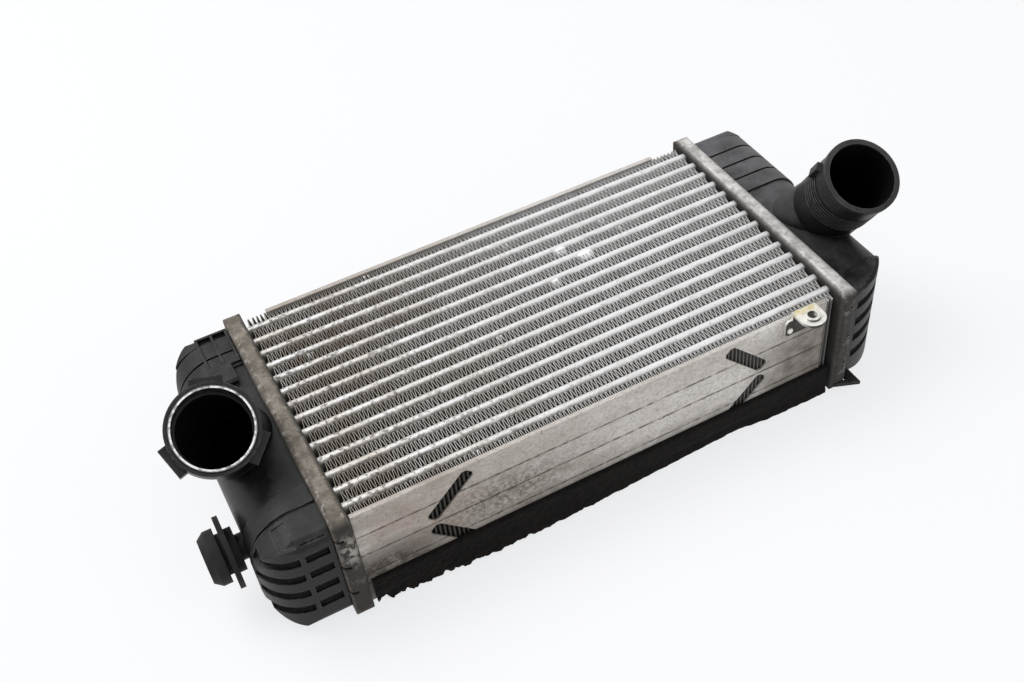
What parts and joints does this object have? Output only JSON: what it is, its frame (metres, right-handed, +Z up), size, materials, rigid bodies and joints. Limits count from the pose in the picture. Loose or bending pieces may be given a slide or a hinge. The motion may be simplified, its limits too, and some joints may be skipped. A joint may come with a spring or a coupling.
{
  "type": "charge-air cooler",
  "caption": "Charge-air cooler with a flat-tube and fin core, moulded tanks at both ends, slanted hose ports, a rubber mount and an eyelet bracket.",
  "frame": {"origin": "middle of the outline in plan, on the plane that the header plates stand on", "axes": "+X along the charge-air tubes towards the tank with the long port, +Y across the stack away from the eyelet bracket, +Z up through the depth of the core, towards the port mouths"},
  "size_m": [0.4916, 0.2144, 0.1505],
  "materials": {
    "tube_aluminium": "mill finish, dusty",
    "fin_aluminium": "thin sheet with road grime in its folds",
    "plate_aluminium": "oxidised sheet",
    "header_aluminium": "oxidised, pitted",
    "gasket_rubber": "moulded seal",
    "tank_plastic": "glass-filled moulding, dusty",
    "sleeve_steel": "turned ring, worn bright",
    "bush_rubber": "moulded rubber",
    "zinc_steel": "yellow zinc plating",
    "foam": "open foam strip, dirty"
  },
  "bodies": {
    "root": {"charge_tube_01": "tube_aluminium", "charge_tube_02": "tube_aluminium", "charge_tube_03": "tube_aluminium", "charge_tube_04": "tube_aluminium", "charge_tube_05": "tube_aluminium", "charge_tube_06": "tube_aluminium", "charge_tube_07": "tube_aluminium", "charge_tube_08": "tube_aluminium", "charge_tube_09": "tube_aluminium", "charge_tube_10": "tube_aluminium", "charge_tube_11": "tube_aluminium", "charge_tube_12": "tube_aluminium", "charge_tube_13": "tube_aluminium", "charge_tube_14": "tube_aluminium", "air_fin_01": "fin_aluminium", "air_fin_02": "fin_aluminium", "air_fin_03": "fin_aluminium", "air_fin_04": "fin_aluminium", "air_fin_05": "fin_aluminium", "air_fin_06": "fin_aluminium", "air_fin_07": "fin_aluminium", "air_fin_08": "fin_aluminium", "air_fin_09": "fin_aluminium", "air_fin_10": "fin_aluminium", "air_fin_11": "fin_aluminium", "air_fin_12": "fin_aluminium", "air_fin_13": "fin_aluminium", "air_fin_14": "fin_aluminium", "air_fin_15": "fin_aluminium", "side_plate_front": "plate_aluminium", "side_plate_back": "plate_aluminium", "header_plate_left": "header_aluminium", "header_plate_right": "header_aluminium", "tank_gasket_left": "gasket_rubber", "tank_gasket_right": "gasket_rubber", "left_tank": "tank_plastic", "left_port_neck": "tank_plastic", "right_tank": "tank_plastic", "port_sleeve": "sleeve_steel", "mount_bush": "bush_rubber", "eyelet_bracket": "zinc_steel", "foam_strip": "foam"}
  },
  "joints": []
}
